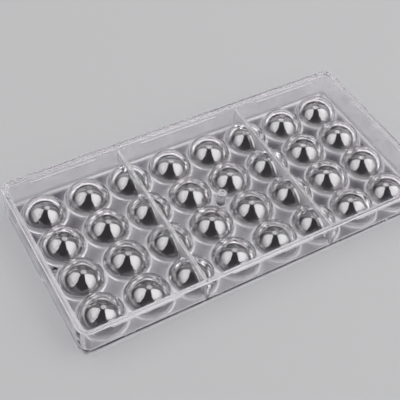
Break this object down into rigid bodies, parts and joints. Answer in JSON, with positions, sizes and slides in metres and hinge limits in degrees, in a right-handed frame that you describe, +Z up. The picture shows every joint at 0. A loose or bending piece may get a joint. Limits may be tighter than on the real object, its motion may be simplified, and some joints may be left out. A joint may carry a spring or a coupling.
{
  "type": "chocolate mould",
  "caption": "Clear one-piece rigid mould with rows of half-round cavities, lying on its filling face with the domed backs and cross ribs up inside a rectangular skirt.",
  "frame": {"origin": "middle of the footprint, on the filling face that the mould lies on", "axes": "+X along the length, +Y along the width towards the far long wall of the picture, +Z up through the domed backs"},
  "size_m": [0.275, 0.135, 0.024],
  "materials": {
    "clear_plastic": "clear, polished"
  },
  "bodies": {
    "root": {"mould": "clear_plastic"}
  },
  "joints": []
}
